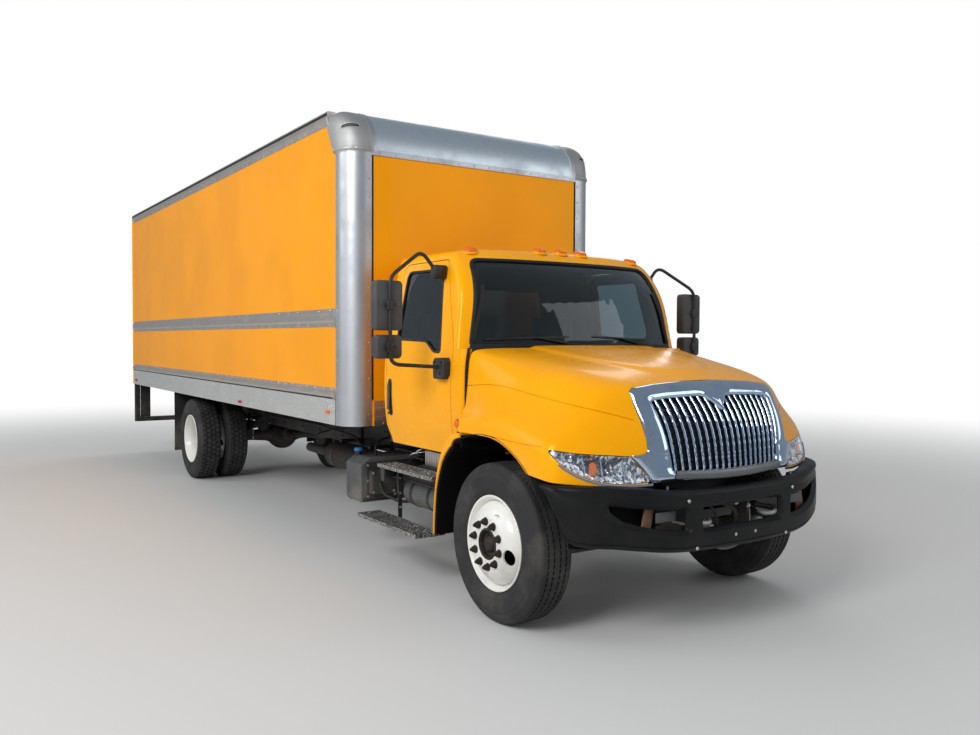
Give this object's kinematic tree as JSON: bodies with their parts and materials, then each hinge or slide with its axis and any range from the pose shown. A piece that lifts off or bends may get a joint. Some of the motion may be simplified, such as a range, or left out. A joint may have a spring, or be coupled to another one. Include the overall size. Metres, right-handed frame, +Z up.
{
  "type": "box truck",
  "caption": "Conventional-cab box truck with twin rear wheels, steered front wheels, swinging doors and a tilting hood.",
  "frame": {"origin": "on the ground, at the middle of the overall length and width", "axes": "+Z up, the truck faces -Y, +X is its left side"},
  "size_m": [3.16, 10.973, 3.6999],
  "materials": {
    "body_paint": "gloss yellow-orange paint",
    "panel_paint": "semi-gloss yellow-orange panel paint",
    "white_paint": "gloss white paint",
    "black_metal": "satin black chassis paint",
    "grey_metal": "satin grey paint",
    "rail_aluminium": "brushed",
    "tread_aluminium": "perforated tread",
    "chrome": "bright",
    "black_plastic": "grained black",
    "dark_trim": "grained charcoal",
    "seat_fabric": "woven",
    "tyre_rubber": "worn black",
    "flap_rubber": "matte black",
    "window_glass": "lightly tinted",
    "lamp_lens": "clear",
    "engine_iron": "cast"
  },
  "bodies": {
    "chassis": {"frame_rails": "black_metal", "front_axle": "black_metal", "rear_axle": "black_metal", "springs": "black_metal", "engine_block": "engine_iron", "driveshaft": "black_metal", "radiator": "black_metal", "fuel_tank": "rail_aluminium", "fluid_tank": "black_plastic", "air_tanks": "grey_metal", "battery_box": "black_plastic", "cab_steps": "tread_aluminium", "exhaust": "grey_metal", "front_bumper": "black_plastic", "rear_guard": "grey_metal", "mud_flaps": "flap_rubber", "quarter_fenders": "body_paint", "cab_floor": "body_paint", "cab_front": "body_paint", "cab_back": "body_paint", "cab_roof": "body_paint", "cab_glass": "window_glass", "dashboard": "dark_trim", "steering_wheel": "black_plastic", "seats": "seat_fabric", "box_floor": "black_metal", "box_sides": "panel_paint", "box_front": "panel_paint", "box_roof": "white_paint", "nose_cap": "rail_aluminium", "corner_posts": "rail_aluminium", "box_rails": "rail_aluminium", "rear_frame": "panel_paint", "roll_up_door": "white_paint"},
    "hood": {"hood": "body_paint", "grille": "chrome", "headlamps": "lamp_lens"},
    "door_left": {"door_left": "body_paint", "door_glass_left": "window_glass", "mirrors_left": "black_plastic"},
    "door_right": {"door_right": "body_paint", "door_glass_right": "window_glass", "mirrors_right": "black_plastic"},
    "knuckle_left": {"knuckle_left": "black_metal"},
    "knuckle_right": {"knuckle_right": "black_metal"},
    "tie_rod": {"tie_rod": "black_metal"},
    "wheel_front_left": {"wheel_front_left": "white_paint", "tyre_front_left": "tyre_rubber"},
    "wheel_front_right": {"wheel_front_right": "white_paint", "tyre_front_right": "tyre_rubber"},
    "wheel_rear_left": {"wheel_rear_left": "white_paint", "tyres_rear_left": "tyre_rubber"},
    "wheel_rear_right": {"wheel_rear_right": "white_paint", "tyres_rear_right": "tyre_rubber"}
  },
  "joints": [
    {"name": "hood_tilt", "type": "hinge", "parent": "chassis", "child": "hood", "pos_m": [0, -5.4515, 0.7], "axis": [1, 0, 0], "range_deg": [0, 65]},
    {"name": "door_left_swing", "type": "hinge", "parent": "chassis", "child": "door_left", "pos_m": [1.088, -3.7905, 1.6], "axis": [0, 0, -1], "range_deg": [0, 70]},
    {"name": "door_right_swing", "type": "hinge", "parent": "chassis", "child": "door_right", "pos_m": [-1.088, -3.7905, 1.6], "axis": [0, 0, 1], "range_deg": [0, 70]},
    {"name": "steer_left", "type": "hinge", "parent": "chassis", "child": "knuckle_left", "pos_m": [0.88, -4.4515, 0.51], "axis": [0, 0, 1], "range_deg": [-42, 42]},
    {"name": "steer_right", "type": "hinge", "parent": "chassis", "child": "knuckle_right", "pos_m": [-0.88, -4.4515, 0.51], "axis": [0, 0, 1], "range_deg": [-42, 42]},
    {"name": "tie_rod_pivot", "type": "hinge", "parent": "knuckle_left", "child": "tie_rod", "pos_m": [0.88, -4.2215, 0.371], "axis": [0, 0, 1], "range_deg": [-42, 42]},
    {"name": "front_left_roll", "type": "hinge", "parent": "knuckle_left", "child": "wheel_front_left", "pos_m": [1.04, -4.4515, 0.51], "axis": [1, 0, 0], "continuous": true},
    {"name": "front_right_roll", "type": "hinge", "parent": "knuckle_right", "child": "wheel_front_right", "pos_m": [-1.04, -4.4515, 0.51], "axis": [1, 0, 0], "continuous": true},
    {"name": "rear_left_roll", "type": "hinge", "parent": "chassis", "child": "wheel_rear_left", "pos_m": [0.9265, 2.4315, 0.51], "axis": [1, 0, 0], "continuous": true},
    {"name": "rear_right_roll", "type": "hinge", "parent": "chassis", "child": "wheel_rear_right", "pos_m": [-0.9265, 2.4315, 0.51], "axis": [1, 0, 0], "continuous": true}
  ],
  "couplings": [
    {"joint": "steer_right", "follows": "steer_left", "ratio": 1},
    {"joint": "tie_rod_pivot", "follows": "steer_left", "ratio": -1}
  ]
}
